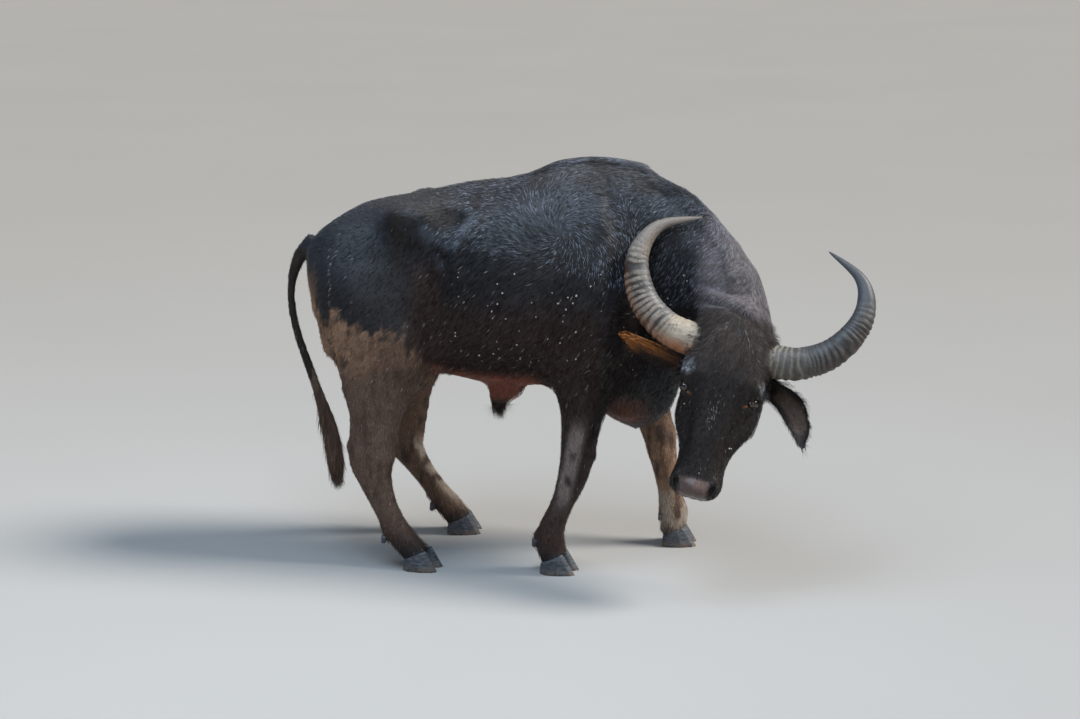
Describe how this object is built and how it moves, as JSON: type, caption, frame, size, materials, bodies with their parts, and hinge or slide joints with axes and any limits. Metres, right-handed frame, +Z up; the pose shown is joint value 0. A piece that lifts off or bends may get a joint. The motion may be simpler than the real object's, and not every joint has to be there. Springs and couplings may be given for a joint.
{
  "type": "water buffalo",
  "caption": "Water buffalo bull in a walking stance, head lowered and turned to its right, with swept crescent horns, cloven hooves and a hanging tail.",
  "frame": {"origin": "on the floor under the middle of the animal's bounding box", "axes": "+X the way the animal walks, +Y its left side, +Z up"},
  "size_m": [2.1042, 0.9156, 1.4399],
  "materials": {
    "hide": "short glossy black hair over grey-black skin",
    "dust": "short brown-black hair with dried mud",
    "horn": "ridged keratin, matt, smooth at the tip",
    "hoof": "worn keratin, satin",
    "eye": "wet, glossy"
  },
  "bodies": {
    "root": {"head": "hide", "muzzle": "hide", "neck": "hide", "chest": "hide", "barrel": "hide", "rump": "hide", "sheath": "hide", "scrotum": "hide", "shoulder_right": "hide", "shoulder_left": "hide", "haunch_right": "hide", "haunch_left": "hide", "ear_right": "hide", "ear_left": "hide", "tail_root": "hide", "tail_middle": "hide", "tail_switch": "hide", "foreleg_right_upper": "dust", "foreleg_right_cannon": "dust", "foreleg_right_pastern": "dust", "hoof_foreleg_right_right": "hoof", "hoof_foreleg_right_left": "hoof", "dewclaw_foreleg_right_right": "hoof", "dewclaw_foreleg_right_left": "hoof", "foreleg_left_upper": "dust", "foreleg_left_cannon": "dust", "foreleg_left_pastern": "dust", "hoof_foreleg_left_right": "hoof", "hoof_foreleg_left_left": "hoof", "dewclaw_foreleg_left_right": "hoof", "dewclaw_foreleg_left_left": "hoof", "hindleg_right_upper": "dust", "hindleg_right_cannon": "dust", "hindleg_right_pastern": "dust", "hoof_hindleg_right_right": "hoof", "hoof_hindleg_right_left": "hoof", "dewclaw_hindleg_right_right": "hoof", "dewclaw_hindleg_right_left": "hoof", "hindleg_left_upper": "dust", "hindleg_left_cannon": "dust", "hindleg_left_pastern": "dust", "hoof_hindleg_left_right": "hoof", "hoof_hindleg_left_left": "hoof", "dewclaw_hindleg_left_right": "hoof", "dewclaw_hindleg_left_left": "hoof", "horn_right": "horn", "horn_left": "horn", "eye_right": "eye", "eye_left": "eye"}
  },
  "joints": []
}
